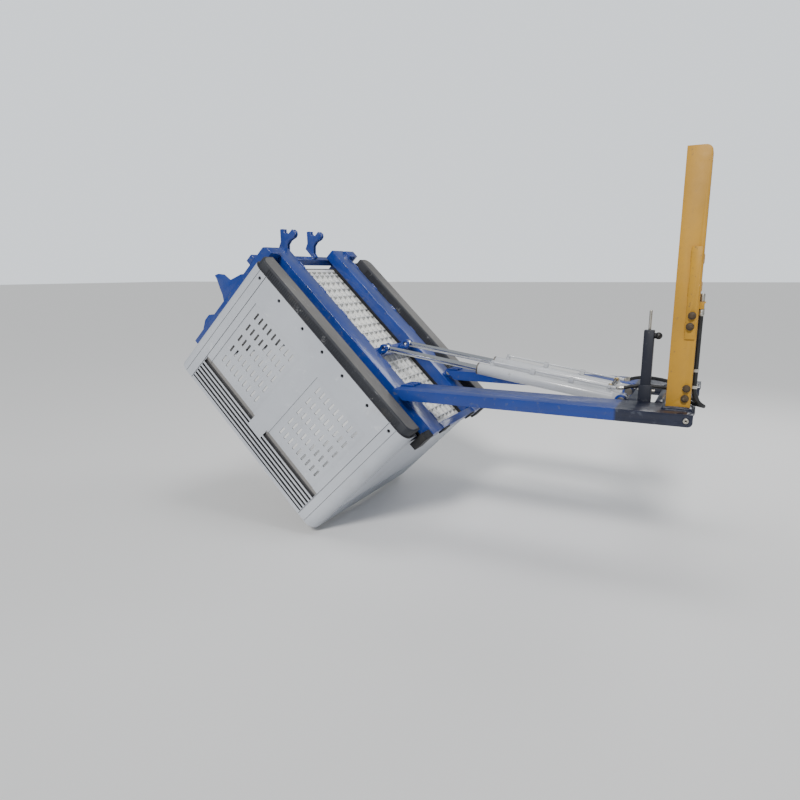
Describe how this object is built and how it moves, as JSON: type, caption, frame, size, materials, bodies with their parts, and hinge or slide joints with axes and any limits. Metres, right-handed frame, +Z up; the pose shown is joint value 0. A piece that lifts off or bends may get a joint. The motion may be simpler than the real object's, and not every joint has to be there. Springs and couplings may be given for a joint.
{
  "type": "forward bin tipper",
  "caption": "Fork-mounted hydraulic forward tipper shown holding a plastic bulk bin inverted, with sleeve arms, tilting cradle, cylinders and a rear guard frame.",
  "frame": {"origin": "midway between the rear mouths of the two fork sleeves, at mid sleeve height", "axes": "X rearward towards the carrier along the sleeves, Y to the right-hand sleeve seen from behind the tipping edge, Z up"},
  "size_m": [2.5402, 1.165, 1.7424],
  "materials": {
    "blue_paint": "royal blue gloss enamel with chips",
    "yellow_paint": "ochre yellow enamel, weathered",
    "dark_paint": "dark navy enamel",
    "silver_paint": "silver enamel, semi-gloss",
    "zinc_steel": "zinc plated steel",
    "chrome_rod": "hard chrome, polished",
    "hose_rubber": "black braided hose rubber",
    "pad_rubber": "black ribbed rubber",
    "bin_plastic": "moulded light grey plastic, satin",
    "bin_base_plastic": "moulded pale grey plastic grid"
  },
  "bodies": {
    "frame": {"arm_left": "blue_paint", "arm_right": "blue_paint", "arm_lugs": "blue_paint", "pivot_pins": "zinc_steel", "rear_box": "blue_paint", "saddle_bar": "blue_paint", "base_ears": "blue_paint", "base_pins": "zinc_steel", "post_left": "yellow_paint", "post_right": "yellow_paint", "post_feet": "blue_paint", "post_cross_top": "yellow_paint", "post_cross_mid": "yellow_paint", "post_strips": "yellow_paint", "post_bolts": "zinc_steel", "leg_sleeve": "dark_paint", "coupler_bracket": "yellow_paint", "couplers": "zinc_steel", "hose_clips": "zinc_steel", "hose_feed": "hose_rubber", "hose_return": "hose_rubber", "hose_link": "hose_rubber"},
    "cradle": {"beam_left": "blue_paint", "beam_right": "blue_paint", "tilt_lugs": "blue_paint", "eye_tube": "blue_paint", "eye_ears": "blue_paint", "bearing_strips": "pad_rubber", "front_bar": "blue_paint", "front_pads": "pad_rubber", "upright_left": "blue_paint", "upright_right": "blue_paint", "back_tube_low": "blue_paint", "back_tube_high": "blue_paint", "side_lugs": "blue_paint", "stop_blocks": "blue_paint", "saddle_hooks": "blue_paint", "bin_shell": "bin_plastic", "bin_floor": "bin_base_plastic", "bin_feet": "bin_plastic", "bin_rim": "bin_plastic"},
    "cylinder_left": {"barrel_left": "silver_paint", "gland_left": "zinc_steel", "barrel_pipes": "zinc_steel"},
    "rod_left_body": {"rod_left": "chrome_rod", "rod_eye_left": "chrome_rod"},
    "retainer_left": {"retaining_pin_left": "zinc_steel"},
    "cylinder_right": {"barrel_right": "silver_paint", "gland_right": "zinc_steel", "barrel_pipes_right": "zinc_steel"},
    "rod_right_body": {"rod_right": "chrome_rod", "rod_eye_right": "chrome_rod"},
    "retainer_right": {"retaining_pin_right": "zinc_steel"},
    "leg": {"parking_leg": "dark_paint", "leg_foot": "dark_paint", "leg_pull_rod": "zinc_steel"},
    "clamp": {"leg_clamp": "zinc_steel"}
  },
  "joints": [
    {"name": "cradle_tilt", "type": "hinge", "parent": "frame", "child": "cradle", "pos_m": [-1.268, 0, 0.012], "axis": [0, 1, 0], "range_deg": [0, 135.6]},
    {"name": "cylinder_left_swing", "type": "hinge", "parent": "frame", "child": "cylinder_left", "pos_m": [-0.297, -0.1345, 0.006], "axis": [0, 1, 0], "range_deg": [-7, 0.5]},
    {"name": "rod_left_stroke", "type": "slide", "parent": "cylinder_left", "child": "rod_left_body", "axis": [0.9893, 0, -0.1458], "range_m": [-0.002, 0.482]},
    {"name": "cylinder_right_swing", "type": "hinge", "parent": "frame", "child": "cylinder_right", "pos_m": [-0.297, 0.1345, 0.006], "axis": [0, 1, 0], "range_deg": [-7, 0.5]},
    {"name": "rod_right_stroke", "type": "slide", "parent": "cylinder_right", "child": "rod_right_body", "axis": [0.9893, 0, -0.1458], "range_m": [-0.002, 0.482]},
    {"name": "retainer_left_pull", "type": "slide", "parent": "frame", "child": "retainer_left", "axis": [0, -1, 0], "range_m": [0, 0.24]},
    {"name": "retainer_right_pull", "type": "slide", "parent": "frame", "child": "retainer_right", "axis": [0, 1, 0], "range_m": [0, 0.24]},
    {"name": "parking_leg_drop", "type": "slide", "parent": "frame", "child": "leg", "axis": [0, 0, -1], "range_m": [0, 0.18]},
    {"name": "leg_clamp_turn", "type": "hinge", "parent": "frame", "child": "clamp", "pos_m": [-0.198, -0.168, 0.062], "axis": [0, 1, 0], "continuous": true}
  ],
  "couplings": [
    {"joint": "cylinder_left_swing", "follows": "cradle_tilt", "ratio": -0.044545},
    {"joint": "rod_left_stroke", "follows": "cradle_tilt", "m_per_rad": 0.20193},
    {"joint": "cylinder_right_swing", "follows": "cradle_tilt", "ratio": -0.044545},
    {"joint": "rod_right_stroke", "follows": "cradle_tilt", "m_per_rad": 0.20193}
  ]
}
